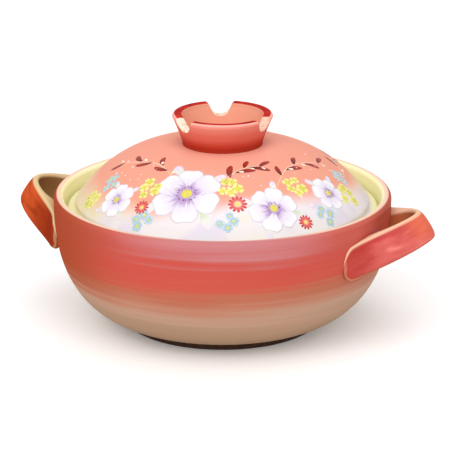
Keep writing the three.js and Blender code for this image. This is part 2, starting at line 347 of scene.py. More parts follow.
# %% Pull the straps
def handle(name, side):
    """The section carried along the path, then raised: out climbs at the handle's slope, and a lift
    across the strap goes up and leans inwards by the lean times 1 - s^2, with s the share of the half
    span. A wedge of clay is thumbed in behind each root, a bell curve of the length from the end, and
    the lower edge is tucked up at the tip, a bell curve of the place along the pot.
    Nothing goes deeper under the wall than the root depth."""
    from_end, path, outward = strap_path(STRAP_ROWS)
    across, through = oval(full_turn(STRAP_COLUMNS), EDGE_POWER)
    share = (path[:, 1:] / HALF_SPAN) ** 2
    half_width = (STRAP_WIDTH + (STRAP_ROOT_WIDTH - STRAP_WIDTH) * share) / 2
    half_width = half_width * round_end(from_end, END_ROUND, END_ROUND_POWER)[:, None]
    half_thickness = STRAP_THICKNESS / 2 * round_end(from_end, END_EDGE, END_EDGE_POWER)[:, None]
    wedge = WEDGE * bell(from_end - WEDGE_AT, WEDGE_RUN)[:, None]
    shift = through * (half_thickness + wedge * (through < 0))
    shift = shift - END_PRESS * np.exp(-from_end / PRESS_RUN)[:, None]
    tuck = TIP_TUCK * bell(path[:, 1:], TUCK_RUN) * np.clip(-across, 0, 1)
    lift, lean = across * half_width + tuck, STRAP_LEAN * (1 - share)
    out = path[:, :1] + outward[:, :1] * shift
    x = out - lift * np.sin(lean)
    y = path[:, 1:] + outward[:, 1:] * shift
    z = HANDLE_ROOT_HEIGHT + (out - strap_out(HALF_SPAN)) * HANDLE_CLIMB + lift * np.cos(lean)
    radius = np.hypot(x, y)
    keep_out = np.maximum((belly_radius(z) - ROOT_DEPTH) / radius, 1)
    points = points_of(side * x * keep_out, side * y * keep_out, z)
    points[[0, -1]] = points[[0, -1]].mean(axis=1, keepdims=True)
    ending = np.broadcast_to(from_end[:, None] / mm, radius.shape)
    to_edge = np.minimum(half_width * (1 - np.abs(across)) / mm, ending)
    return surface(name, points[None], across=across, through=through, ending=ending, to_edge=to_edge)


handle_right = handle("handle_right_strap", 1)
handle_left = handle("handle_left_strap", -1)

# %% [markdown]
# ## The lid
# The lid drops into the gallery on a flat flange, then steps up into a steep shoulder that rolls over
# into a broad crown. Height is again a formula of the radius, which pays twice: the knob's foot and
# every painted petal can be laid exactly on the dome by asking the same formula.

# %% Sizes of the lid
LID_RADIUS, CROWN_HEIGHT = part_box("lid_dome")[1].x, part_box("lid_dome")[1].z
FLANGE_THICKNESS = 5.5 * mm
FLANGE_WIDTH = 5.7 * mm
SHOULDER_STEP = 4.2 * mm
DOME_WALL = 5.5 * mm
DOME_FULLNESS = 3.5
UNDER_ROWS, OVER_ROWS, SHOULDER_ROWS = 60, 130, 12
EDGE_CUTS, EDGE_STEP = (1.2 * mm, 1.5 * mm, 2.2 * mm, 2.0 * mm, 0.8 * mm), 1.2 * mm
flange_top = LID_UNDERSIDE + FLANGE_THICKNESS
dome_radius = LID_RADIUS - FLANGE_WIDTH
dome_foot = flange_top + SHOULDER_STEP
dome_rise = CROWN_HEIGHT - dome_foot


def dome_height(radius, thickness=0.0):
    """Foot plus rise times (1 - s^fullness), where s is the share of the dome's radius."""
    share = radius / (dome_radius - thickness)
    return dome_foot - thickness + dome_rise * (1 - share**DOME_FULLNESS)


print(f"dome {2 * dome_radius / mm:.0f} mm across, rising {dome_rise / mm:.1f} mm")

# %% Throw the lid
under_radius = (dome_radius - DOME_WALL) * np.sin(np.linspace(0, np.pi / 2, UNDER_ROWS))
under_line = points_of(under_radius, dome_height(under_radius, DOME_WALL))
over_radius = dome_radius * np.cos(np.linspace(0, np.pi / 2, OVER_ROWS))
over_radius[-1] = 0
over_line = points_of(over_radius, dome_height(over_radius))
edge_line = soft_corners(
    [under_line[-1], (dome_radius - DOME_WALL, LID_UNDERSIDE), (LID_RADIUS, LID_UNDERSIDE),
     (LID_RADIUS, flange_top), (dome_radius, flange_top), over_line[0], over_line[SHOULDER_ROWS]],
    EDGE_CUTS, steps=8)
edge_line = filled_in(edge_line, EDGE_STEP)[1:-1]
lid_line = np.concatenate((under_line, edge_line, over_line[SHOULDER_ROWS + 1:]))
lid_inside = np.r_[np.ones(len(under_line)), np.linspace(1, 0, len(edge_line)).round(),
                   np.zeros(len(over_line) - SHOULDER_ROWS - 1)]
lid = turned("lid_dome_glazed", lid_line, inside=lid_inside)

# %% [markdown]
# ## The knob
# The knob is a flared ring with three thumb-wide notches in its rim. A boolean could cut the notches,
# but it leaves knife edges that clay never has. Here the ring's height is a function of the angle, so
# the rounded rim simply dips into each notch and comes up again, as wet clay does under a wire.

# %% Sizes of the knob
KNOB_TOP, KNOB_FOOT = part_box("lid_knob")[1].z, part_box("lid_knob")[0].z
KNOB_RIM_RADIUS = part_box("lid_knob")[1].y
KNOB_BASE_RADIUS = 25.8 * mm
KNOB_RIM_WALL = 6.5 * mm
KNOB_BASE_WALL = 6.5 * mm
KNOB_FLARE = 1.15
KNOB_RIM_ROUND = 2.0 * mm
NOTCH_ANGLES = np.radians([112, 232, 352])
NOTCH_DEPTH = 7.6 * mm
NOTCH_HALF_WIDTH = 9.6 * mm
NOTCH_FULLNESS, NOTCH_SOFTNESS = 3.4, 1.6
CUT_FROM, CUT_FULL, CUT_FADE = 0.08, 0.3, 2.2 * mm
KNOB_SINK = 0.4 * mm
LUTE, LUTE_RUN, LUTE_POWER = 0.4 * mm, 1.2 * mm, 1.5
KNOB_TURNS = 720
WALL_ROWS, ROUND_ROWS, FLAT_ROWS = 26, 8, 5


def eased(value, low, high):
    """0 below low, 1 above high, and 3t^2 - 2t^3 between them."""
    t = np.clip((value - low) / (high - low), 0, 1)
    return t * t * (3 - 2 * t)


def knob_radius(height, base, rim):
    """A flare from base to rim, by a power of the share of the height."""
    share = np.clip((height - KNOB_FOOT) / (KNOB_TOP - KNOB_FOOT), 0, 1)
    return base + (rim - base) * share**KNOB_FLARE


print(f"knob {2 * KNOB_RIM_RADIUS / mm:.0f} mm across, with {len(NOTCH_ANGLES)} notches")

# %% Build the knob ring
angle = full_turn(KNOB_TURNS)
to_notch = np.abs((angle[:, None] - NOTCH_ANGLES + np.pi) % (2 * np.pi) - np.pi).min(axis=1)
sideways = to_notch * (KNOB_RIM_RADIUS - KNOB_RIM_WALL / 2)
notch = (1 - np.clip(sideways / NOTCH_HALF_WIDTH, 0, 1) ** NOTCH_FULLNESS) ** NOTCH_SOFTNESS
top = KNOB_TOP - NOTCH_DEPTH * notch
shoulder = top - KNOB_RIM_ROUND
base_inner = KNOB_BASE_RADIUS - KNOB_BASE_WALL
rim_inner = KNOB_RIM_RADIUS - KNOB_RIM_WALL
foot_outer = dome_height(KNOB_BASE_RADIUS) - KNOB_SINK
foot_inner_height = dome_height(base_inner) - KNOB_SINK

wall = np.linspace(0, 1, WALL_ROWS)[:, None]
outer_height = foot_outer + (shoulder - foot_outer) * wall
luted = LUTE * np.exp(-((outer_height - foot_outer) / LUTE_RUN) ** LUTE_POWER)
outer_radius = knob_radius(outer_height, KNOB_BASE_RADIUS, KNOB_RIM_RADIUS) + luted
inner_height = shoulder + (foot_inner_height - shoulder) * wall
inner_radius = knob_radius(inner_height, base_inner, rim_inner)
turn = np.linspace(0, np.pi / 2, ROUND_ROWS + 1)[1:, None]
out_edge, in_edge = outer_radius[-1], inner_radius[0]
outer_round = (out_edge - KNOB_RIM_ROUND * (1 - np.cos(turn)), shoulder + KNOB_RIM_ROUND * np.sin(turn))
across = np.linspace(0, 1, FLAT_ROWS + 1)[1:, None]
flat_radius = (out_edge - KNOB_RIM_ROUND) * (1 - across) + (in_edge + KNOB_RIM_ROUND) * across
inner_round = (in_edge + KNOB_RIM_ROUND * (1 - np.sin(turn)), shoulder + KNOB_RIM_ROUND * np.cos(turn))
radius = np.concatenate((outer_radius, outer_round[0], flat_radius, inner_round[0], inner_radius[1:]))
flat_height = np.broadcast_to(top, flat_radius.shape)
height = np.concatenate((outer_height, outer_round[1], flat_height, inner_round[1], inner_height[1:]))
part = np.r_[np.zeros(WALL_ROWS), np.linspace(0, 1, ROUND_ROWS), np.ones(FLAT_ROWS),
             np.linspace(1, 2, ROUND_ROWS), np.full(WALL_ROWS - 1, 2.0)]
ring = points_of(radius * np.cos(angle), radius * np.sin(angle), height)
near_top = 1 - eased(top - height, 0, CUT_FADE)
knob = surface("lid_knob_ring", ring[None], wrap_rows=True, part=part[None, :, None],
               cut=(eased(notch, CUT_FROM, CUT_FULL) * near_top)[None])

# %% [markdown]
# ## Writing shader maths as sums
# Glaze colour depends on height, radius and a little chance. Node graphs for that grow unreadable, so
# one small class wraps a socket: plain arithmetic on it adds Math nodes, and one method adds any
# other node from its type, its settings and its inputs.

# %% A socket that does arithmetic
def paint(chart):
    """A colour as a paint chart gives it, three numbers from 0 to 255, turned into light."""
    chart = np.array(chart) / 255
    light = np.where(chart < 0.04045, chart / 12.92, ((chart + 0.055) / 1.055) ** 2.4)
    return (*light.tolist(), 1.0)


def operator(name, reflected=False):
    """An arithmetic operator that adds one Math node. Reflected, the socket stands on the right."""
    def method(self, other):
        left, right = (other, self) if reflected else (self, other)
        return self.add("Math", {"operation": name}, {0: left, 1: right})
    return method


class Wire:
    """A socket in a material. + - * / and ** on it add Math nodes; add() adds any other node."""

    __add__ = __radd__ = operator("ADD")
    __sub__, __rsub__ = operator("SUBTRACT"), operator("SUBTRACT", reflected=True)
    __mul__ = __rmul__ = operator("MULTIPLY")
    __truediv__, __pow__ = operator("DIVIDE"), operator("POWER")

    def __init__(self, tree, socket):
        self.tree, self.socket = tree, socket

    def add(self, kind, settings=(), inputs=(), output=0):
        """A new node: its settings first, then a value or a link for each input."""
        node = self.tree.nodes.new("ShaderNode" + kind)
        for key, value in dict(settings).items():
            if key == "stops":
                self.fill_ramp(node.color_ramp, value)
            else:
                setattr(node, key, value)
        for key, value in dict(inputs).items():
            if isinstance(value, Wire):
                self.tree.links.new(value.socket, node.inputs[key])
            else:
                node.inputs[key].default_value = value
        return Wire(self.tree, node.outputs[output])

    @staticmethod
    def fill_ramp(ramp, stops):
        """Places and colours of a colour ramp, lowest first, easing from each to the next."""
        ramp.interpolation = "EASE"
        for _ in stops[2:]:
            ramp.elements.new(0.5)
        for element, (place, colour) in zip(ramp.elements, stops):
            element.position = place
            element.color = paint(colour)

    def ease(self, low, high):
        """0 at low and 1 at high, with a soft start and end."""
        return self.add("MapRange", {"interpolation_type": "SMOOTHSTEP"},
                        {"Value": self, "From Min": low, "From Max": high})

    def ramp(self, *stops):
        """A colour for each value, from places between 0 and 1."""
        return self.add("ValToRGB", {"stops": stops}, {"Fac": self})

    def noise(self, scale, detail=3.0):
        """Soft random values round 0.5, here for a vector."""
        return self.add("TexNoise", {}, {"Vector": self, "Scale": scale, "Detail": detail})

    def sway(self, amount):
        """Noise as a shift either way: less a half, times an amount."""
        return (self - 0.5) * amount

    def stretched(self, x, y, z):
        """The same coordinates, stretched, to draw a pattern out along an axis."""
        return self.add("Mapping", {}, {"Vector": self, "Scale": (x, y, z)})


MIX_SHARE, MIX_LOW, MIX_HIGH, MIX_COLOUR = 0, 6, 7, 2


def mix(share, low, high):
    """The low colour where the share is 0, the high colour where it is 1."""
    low, high = (colour if isinstance(colour, Wire) else paint(colour) for colour in (low, high))
    inputs = {MIX_SHARE: share, MIX_LOW: low, MIX_HIGH: high}
    return share.add("Mix", {"data_type": "RGBA"}, inputs, MIX_COLOUR)


# %% Start a finish
def new_finish(name, **constants):
    """A material with its fixed numbers set on the surface itself. Gives it and the place on it."""
    material = bpy.data.materials.new(name)
    material.use_nodes = True
    for key, value in constants.items():
        socket_of(material, key).default_value = value
    place = Wire(material.node_tree, None).add("TexCoord", output="Object")
    return material, place


def socket_of(material, key):
    """A socket of the shader, by its name with an underscore for each space."""
    return material.node_tree.nodes["Principled BSDF"].inputs[key.replace("_", " ")]


def dress(material, *pieces, **links):
    """Links what changes over the surface to the shader's sockets, and gives pieces the finish."""
    for key, wire in links.items():
        material.node_tree.links.new(wire.socket, socket_of(material, key))
    for piece in pieces:
        piece.data.materials.append(material)
    print(material.name, "on", [piece.name for piece in pieces])


def relief(height, strength, distance):
    """A fine relief that tilts the light."""
    inputs = {"Height": height, "Strength": strength, "Distance": distance}
    return height.add("Bump", {}, inputs)


def axis(place, number):
    """x, y or z of a place, in millimetres."""
    return place.add("SeparateXYZ", {}, {0: place}, number) * 1000


def stored(place, name):
    """A value that the mesh holds at each point."""
    return place.add("Attribute", {"attribute_name": name}, output="Fac")


# %% [markdown]
# ## The red glaze
# The pot was sprayed: pink under the rim, red below it, thinning to the beige of the clay body lower
# down, while it turned on the wheel. So the colour is a ramp of height, shifted up and down by noise
# that is drawn out round the pot, which gives the fine horizontal streaks of a spray gun. Light and
# shade are painted in too: a painted sheen on the front under the rim, painted shade that browns both
# sides of the pot, and painted shade that darkens the beige towards the foot. The gloss is a thin
# clear coat, left off the left side where its shade is painted.

# %% Red glaze on the pot
CREAM = (242, 206, 184)
MEADOW = (254, 251, 210)
DEEP_MEADOW = (250, 245, 192)
IRON = (198, 172, 104)
# The brown of the shade painted on the sides of the pot and the straps.
SIDE_SHADE_BROWN = (165, 72, 42)
FRONT = math.radians(18.7)
COAT = 0.12
GLOSS = {"Coat_Weight": COAT, "Coat_Roughness": 0.08, "Specular_IOR_Level": 0.0}


def drifts(place):
    """Noise drawn out round the pot: fine bands up the wall, broader ones, and slow clouds over them."""
    fine = place.stretched(5, 5, 420).noise(1.0, 4.0)
    broad = place.stretched(5, 5, 110).noise(1.0, 3.0)
    clouds = place.stretched(1, 1, 2.5).noise(14.0, 2.0)
    return fine, broad, clouds


def rightward(place):
    """How far a place lies to the right of the axis, seen from the front, in millimetres."""
    return axis(place, 0) * math.cos(FRONT) + axis(place, 1) * math.sin(FRONT)


def frontward(place):
    """How far a place lies in front of the axis, in millimetres."""
    return axis(place, 0) * math.sin(FRONT) - axis(place, 1) * math.cos(FRONT)


def painted_side_shade(place):
    """How much painted shade browns a place, on the left and, less, on the right: the sides that turn
    from the light.
    """
    along = rightward(place)
    return (along * -1).ease(54, 108) * 0.92, along.ease(80, 112) * 0.5


def meadow(place, drift):
    """The green glaze of the inside: two shades mixed by a drift, with faint specks of iron."""
    specks = place.noise(620.0, 3.0).ease(0.64, 0.72) * 0.3
    return mix(specks, mix(drift, MEADOW, DEEP_MEADOW), IRON)


def glaze_red(material, colour, left, fine, broad, *pieces):
    """The sheen that the pot and the straps share: it varies with the streaks, and the coat is left off
    where shade is painted on the left.
    """
    dress(material, *pieces, Base_Color=colour, Roughness=0.24 + broad * 0.16,
          Coat_Weight=COAT - left * COAT, Normal=relief(fine, 0.10, 0.0005))


# From the middle of the wall down towards the foot the beige grows darker: painted shade under the
# belly.
RED_RAMP = (
    (0.00, (104, 76, 58)), (0.06, (158, 128, 102)), (0.24, (168, 136, 110)),
    (0.38, (182, 144, 122)), (0.48, (182, 124, 100)), (0.57, (180, 104, 80)),
    (0.66, (194, 84, 68)), (0.74, (195, 78, 68)), (0.86, (190, 84, 74)),
    (0.93, (194, 88, 78)), (1.00, (198, 98, 86)))

pot_glaze, place = new_finish("pot_glaze", **GLOSS)
fine, broad, clouds = drifts(place)
level = axis(place, 2) / (RIM_HEIGHT / mm) + fine.sway(0.22) + broad.sway(0.20) + clouds.sway(0.13)
lip = stored(place, "lip").ease(0.7, 0.99)
left, right = painted_side_shade(place)
forward = frontward(place)
# A painted sheen: a cooler pink on the front under the rim.
painted_sheen = forward.ease(80, 112) * level.ease(0.76, 0.94) * 0.8
red = mix(painted_sheen, level.ramp(*RED_RAMP), (194, 126, 130))
# Painted shade: both sides of the pot turn browner, above the beige.
red = mix((left + right) * level.ease(0.3, 0.6), red, SIDE_SHADE_BROWN)
outside = mix(lip * (1 - forward.ease(80, 110) * 0.9), red, CREAM)
bowl = mix(lip, meadow(place, clouds.ease(0.3, 0.7)), CREAM)
colour = mix(stored(place, "inside").ease(0.35, 0.75), outside, bowl)
glaze_red(pot_glaze, colour, left, fine, broad, pot)

# %% Bare clay on the foot
bare_clay, place = new_finish("bare_clay", Specular_IOR_Level=0.25)
grit = place.noise(900.0, 5.0)
dress(bare_clay, foot, Base_Color=grit.ramp((0.3, (44, 26, 18)), (0.7, (78, 50, 35))),
      Roughness=0.72 + grit * 0.25, Normal=relief(grit, 0.5, 0.0004))

# %% [markdown]
# ## Glaze on the straps
# The straps were dipped with the pot, so they carry the same red, but the glaze ran off their top edge
# and off the outline of their pressed ends, where the pale slip shows. The strap carries its own
# measures, how far across, how deep, how far from an end and from an edge, and the finish reads those:
# the streaks run along the strap, as the glaze ran. Shade is painted in too: along the lower edge, in
# the crease round each pressed end, partly on the inner face, and over the whole left strap, which is
# painted a darker orange-brown.

# %% Red glaze on the handles
handle_glaze, place = new_finish("handle_glaze", **GLOSS)
fine, broad, clouds = drifts(place)
measures = ("across", "through", "ending", "to_edge")
across, through, ending, to_edge = (stored(place, key) for key in measures)
lengthwise = place.add("CombineXYZ", {}, {0: across * 2.0, 1: ending * 0.05, 2: through})
grain = lengthwise.noise(1.0, 2.5)
outer = (0.5 - across * 0.18 + grain.sway(1.5) + clouds.sway(0.5)).ramp(
    (0.0, (184, 56, 62)), (0.35, (196, 76, 74)), (0.65, (210, 98, 92)),
    (1.0, (226, 126, 116)))
outer = mix((1 - ending.ease(8, 34)) * 0.7, outer, (176, 60, 50))
outer = mix(ending.ease(40, 60) * across.ease(-1.4, 0.4) * 0.8, outer, (226, 112, 80))
left, _ = painted_side_shade(place)
# The left strap is painted a darker orange-brown, streaked darker still: painted shade, as on the pot's
# sides.
painted_left_shade = mix(ending.ease(10, 50), (146, 48, 20), (204, 84, 42))
painted_left_shade = mix(grain.ease(0.4, 0.76) * 0.6, painted_left_shade, (130, 40, 12))
outer = mix(left * 1.1, outer, painted_left_shade)
# The inner face is tan and olive, darker than the outer: partly its own glaze, partly painted shade.
inner = mix(left, clouds.ramp((0.3, (150, 104, 66)), (0.7, (182, 100, 64))), (142, 110, 66))
top_edge = across.ease(0.74, 0.96) * (1 - through.ease(0.7, 1.0) * 0.6)
near_end = 1 - ending.ease(8, 22)
outline = (1 - to_edge.ease(0.3, 1.1)) * near_end * through.ease(-0.2, 0.3) * (clouds + 0.1) * 0.6
# A darker red line just inside the pale outline of each pressed end: painted shade in the crease.
crease_shade = to_edge.ease(0.9, 1.5) * (1 - to_edge.ease(1.6, 2.4)) * near_end * 0.4
# An olive-brown line along the strap's lower edge: painted shade.
low_edge_shade = (across * -1).ease(0.82, 0.98) * 0.7
red = mix(low_edge_shade, mix(through.ease(-0.6, 0.1), inner, outer), (158, 86, 50))
red = mix(crease_shade, red, (160, 54, 44))
pale = (top_edge * 0.9 + outline).ease(0.0, 1.0)
slip = mix(left, (236, 192, 160), (220, 196, 148))
glaze_red(handle_glaze, mix(pale, red, slip), left, fine, broad, handle_right, handle_left)

# %% [markdown]
# ## The lid's airbrushed ground
# The crown is salmon, with a faint painted shade of darker red round the knob's foot, and the edge thins
# to cream. Towards the front a white ground is sprayed for the blossom to sit on. Its soft border is a
# distance towards the front, and a little to the right, less a height, as if a sheet of paper had masked
# the crown. Noise makes it waver. It is measured on the lid itself, so it stays there wherever the lid
# is lifted. Faint washes drift over the white.

# %% Salmon glaze on the lid
lid_glaze, place = new_finish("lid_glaze", **GLOSS)
x, y = axis(place, 0), axis(place, 1)
radius = (x * x + y * y) ** 0.5
cloud, wash = place.noise(26.0, 3.0), place.noise(38.0, 2.0)
border = frontward(place) * 0.32 + rightward(place) * 0.1 - axis(place, 2)
ground = (border + cloud.sway(16)).ease(-84, -69)
salmon = (radius / 100).ramp((0.0, (234, 158, 134)), (0.3, (242, 168, 148)),
                             (0.5, (238, 160, 138)), (0.9, (234, 160, 136)))
# A faint darker red just round the knob's foot: painted shade where the knob meets the dome.
salmon = mix((1 - radius.ease(25.4, 27)) * 0.2, salmon, (190, 84, 62))
upper = mix((radius + cloud.sway(10)).ease(80, 97), salmon, (230, 218, 184))
white = wash.ramp((0.28, (229, 222, 196)), (0.42, (230, 223, 225)), (0.54, (229, 222, 226)),
                  (0.66, (222, 212, 226)), (0.80, (210, 219, 226)))
shell = mix(radius.ease(96.5, 98.5), mix(ground, upper, white), (232, 228, 182))
under = stored(place, "inside").ease(0.4, 0.6)
dress(lid_glaze, lid, Base_Color=mix(under, shell, meadow(place, cloud)),
      Roughness=0.2 + cloud * 0.16, Normal=relief(cloud, 0.08, 0.0006))

# %% Red and salmon on the knob
knob_glaze, place = new_finish("knob_glaze", **GLOSS)
fine, broad, clouds = drifts(place)
level = (axis(place, 2) - KNOB_FOOT / mm) / ((KNOB_TOP - KNOB_FOOT) / mm)
# The outside deepens to red at the foot and grows paler towards the top: the pale top is a painted
# sheen.
outside = (level + clouds.sway(0.3) + fine.sway(0.3)).ramp(
    (0.0, (168, 50, 32)), (0.2, (190, 62, 44)), (0.5, (214, 102, 84)),
    (0.85, (224, 126, 110)), (1.0, (234, 146, 132)))
part = stored(place, "part")
# The rim's outer round is paler: partly glaze worn thin on the edge, partly a painted highlight.
worn_edge_and_highlight = part.ease(0.1, 0.4) * (1 - part.ease(0.55, 0.8))
rim_red = mix(place.noise(160.0, 4.0).ease(0.35, 0.7), (166, 22, 18), (204, 46, 34))
top_red = mix(part.ease(0.6, 0.9), mix(worn_edge_and_highlight, outside, (242, 176, 162)), rim_red)
ring_colour = mix(part.ease(1.3, 1.6), top_red, mix(clouds, (236, 168, 142), (228, 152, 124)))
blotch = place.noise(420.0, 4.0)
speck = blotch.ease(0.52, 0.62) * 0.55
cut = (stored(place, "cut") + blotch.sway(1.2)).ease(0.3, 0.6)
bare = mix(axis(place, 0).ease(-20, 34), (247, 226, 206), (240, 194, 172))
notch_colour = mix(speck, bare, (206, 136, 108))
dress(knob_glaze, knob, Base_Color=mix(cut, ring_colour, notch_colour),
      Roughness=0.22 + broad * 0.14, Normal=relief(fine, 0.08, 0.0005))

# %% [markdown]
# ## Blossom in raised enamel
# The spray is painted over the glaze in enamel that stands up about a tenth of a millimetre. A
# painted texture would blur when it is baked, so each petal is a real, thin, closed patch. Patches
# are drawn flat, as an outline that swells from its middle, then laid on the dome: sideways becomes
# an angle round the lid and down becomes a length along the dome's own profile.

# %% Lay flat drawings on the dome
RUN_POINTS, RUN_END = 4000, 0.995
run_radius = np.linspace(0, dome_radius * RUN_END, RUN_POINTS)
run_height = dome_height(run_radius)
run_length = np.r_[0, np.cumsum(np.hypot(np.diff(run_radius), np.diff(run_height)))]
run_slope = np.gradient(run_height, run_radius)
ENAMEL = 0.10 * mm
SUNK = 0.10 * mm
print(f"the dome is {run_length[-1] / mm:.0f} mm from crown to foot")


def on_dome(bearing, run, lift):
    """A place on the dome: bearing is the angle from the front, run the length down from the crown,
    and lift the distance out along the dome's normal."""
    radius = np.interp(run, run_length, run_radius)
    slope = np.interp(run, run_length, run_slope)
    normal = np.hypot(1, slope)
    out = radius - lift * slope / normal
    height = np.interp(run, run_length, run_height) + lift / normal
    return points_of(out * np.sin(bearing + FRONT), -out * np.cos(bearing + FRONT), height)


def wide_at(run):
    """The dome's radius at a run, which turns a sideways length into an angle."""
    return np.interp(run, run_length, run_radius)


# %% Patches from outlines
ROUND_POINTS = 8
STROKE_TAPER, STROKE_HEIGHT = 0.35, 1.2 * ENAMEL
FINE = np.array([[0, 1], [0.3, 1], [0.55, 1], [0.75, 1], [0.88, 0.97], [0.95, 0.8], [1, 0.3], [1, -1],
                 [0.5, -1], [0, -1]]).T[:, None, :, None]
COARSE = np.array([[0, 1], [0.6, 1], [0.92, 0.9], [1, 0.3], [1, -1], [0, -1]]).T[:, None, :, None]


def enamel(name, outline, bearing, run, turn, size, layer=0.0, tone=0.5, rings=COARSE):
    """Patches from one outline of length 1 about its own middle: each is turned, sized and laid on
    the dome, with rings from its middle to its edge and back underneath."""
    bearing, run, turn, size, layer, tone = (
        value.reshape(-1, 1, 1) for value in np.broadcast_arrays(bearing, run, turn, size, layer, tone))
    ring, raised = rings
    across, along = np.broadcast_arrays(outline[:, 0] * ring, outline[:, 1] * ring)
    lift = np.where(raised > 0, raised * ENAMEL + layer, -SUNK)
    sideways = size * (across * np.cos(turn) - along * np.sin(turn))
    down = -size * (across * np.sin(turn) + along * np.cos(turn))
    points = on_dome(bearing + sideways / wide_at(run), run + down, lift)
    return surface(name, points, reach=ring, across=across, along=along, tone=tone)


def stroke(name, bearing, run, half_width):
    """Painted lines along paths (one per row of the arrays): a half-round section of a few points is
    carried along each, square to it, and runs out to nothing at both ends."""
    angle = full_turn(ROUND_POINTS)
    side, down = np.gradient(bearing, axis=1) * wide_at(run), np.gradient(run, axis=1)
    length = np.hypot(side, down)
    taper = np.sin(np.pi * np.linspace(0, 1, run.shape[1])) ** STROKE_TAPER
    taper[[0, -1]] = 0
    reach = (half_width * taper)[..., None] * np.cos(angle)
    lift = np.where(np.sin(angle) > 0, STROKE_HEIGHT, SUNK) * np.sin(angle)
    points = on_dome(bearing[..., None] - reach * (down / length / wide_at(run))[..., None],
                     run[..., None] + reach * (side / length)[..., None], lift)
    return surface(name, points)


# %% Outlines of petals, leaves and dots
def drawn(columns, half_width, fullness, power, bend=0.0, ripple=0.0):
    """A petal or leaf of length 1 about its middle: its length is -cos/2, its width the half width
    times a power of sin and fuller towards the tip, with a bend to one side and a rippled edge."""
    angle = 2 * np.pi * (np.arange(columns) + 0.5) / columns
    up = 0.5 - 0.5 * np.cos(angle)
    swell = np.sign(np.sin(angle)) * np.abs(np.sin(angle)) ** power
    across = half_width * swell * (0.35 + fullness * up)
    up = up + ripple * np.sin(5 * (angle - np.pi)) ** 2 * up**3
    return points_of(across + bend * (up - 0.5) ** 2, up - 0.5)


ANEMONE_PETAL = drawn(44, 0.56, 0.60, 0.66, ripple=0.035)
FLORET_PETAL = drawn(10, 0.62, 0.75, 0.8)
RAY_PETAL = drawn(8, 0.22, 0.60, 0.8)
LEAFLET = drawn(12, 0.30, 0.30, 1.2, bend=0.3)
WASH_LEAF = drawn(20, 0.36, 0.45, 1.2, bend=0.15)
BUD = drawn(10, 0.56, 0.20, 0.8)
DOT = points_of(*(f(full_turn(ROUND_POINTS)) for f in (np.cos, np.sin))) * 0.5
print("points in an outline:", len(ANEMONE_PETAL), len(LEAFLET), len(DOT))

# %% [markdown]
# ## Composing the spray
# The lid carries a loose garland of common garden flowers: open anemones with a button centre, small
# four-petalled florets, asters, and sprigs of slender leaves. The anemones and sprigs are placed one
# by one, by bearing round the lid and by distance down from the crown. Everything smaller follows by
# formula, with a seeded draw for the small differences that a brush makes.

# %% White anemones
PETALS, BUTTON_SHARE = 6, 0.34
PETAL_LAP, BUTTON_LAYER = 0.03 * mm, 0.14 * mm


def petal_ring(bearing, run, length, start, petals, spread=0.53):
    """Where each petal of each flower lies: its middle a little over half a length out from the
    flower's middle, turned outwards. Flat arrays over all flowers and petals."""
    bearing, run, length, start = (np.reshape(value, (-1, 1)) for value in (bearing, run, length, start))
    turn = start + full_turn(petals)
    out = length * spread
    places = (bearing - out * np.sin(turn) / wide_at(run), run - out * np.cos(turn), turn, length)
    return [np.broadcast_to(value, turn.shape).ravel() for value in places]


def placed(*rows):
    """Rows of bearing in degrees, run and petal length in millimetres, and start in degrees."""
    bearing, run, length, start = np.array(rows, float).T
    return np.radians(bearing), run * mm, length * mm, np.radians(start)


brush = np.random.default_rng(7)
anemones = placed((-18, 75, 21, 8), (23, 87, 15.5, 40), (-53, 90, 12, 20), (56, 86, 12, 5),
                  (176, 82, 17, 10))
bearing, run, turn, size = petal_ring(*anemones, PETALS)
layer = np.tile(np.arange(PETALS) % 2 * PETAL_LAP, len(anemones[0]))
white_petals = enamel("anemone_petals", ANEMONE_PETAL, bearing, run, turn,
                      size * brush.uniform(0.94, 1.06, len(size)), layer,
                      brush.uniform(0, 1, len(size)), FINE)
buttons = enamel("anemone_buttons", DOT, anemones[0], anemones[1], 0.0, anemones[2] * BUTTON_SHARE,
                 BUTTON_LAYER, rings=FINE)

# %% Dots round each button
DOT_LAYER = 0.1 * mm
bearing, run, turn, size = petal_ring(*anemones, petals=18, spread=0.27)
wobble = brush.uniform(-0.6, 0.6, (2, len(size))) * mm
button_dots = enamel("anemone_dots", DOT, bearing + wobble[0] / wide_at(run), run + wobble[1], 0.0,
                     size * brush.uniform(0.035, 0.06, len(size)), DOT_LAYER)

# %% Florets and asters
def scattered(centres, count, spread, length):
    """Small flowers round each centre: even turns round it with a seeded wobble."""
    bearing, run = np.radians(centres[:, :1]), centres[:, 1:] * mm
    turn = full_turn(count) + brush.uniform(-0.4, 0.4, (len(centres), count))
    out = spread * mm * brush.uniform(0.6, 1.1, turn.shape)
    size = length * mm * brush.uniform(0.8, 1.15, turn.shape)
    placed_bearing = bearing + out * np.sin(turn) / wide_at(run)
    return [value.ravel() for value in (placed_bearing, run + out * np.cos(turn), size, turn * 2)]


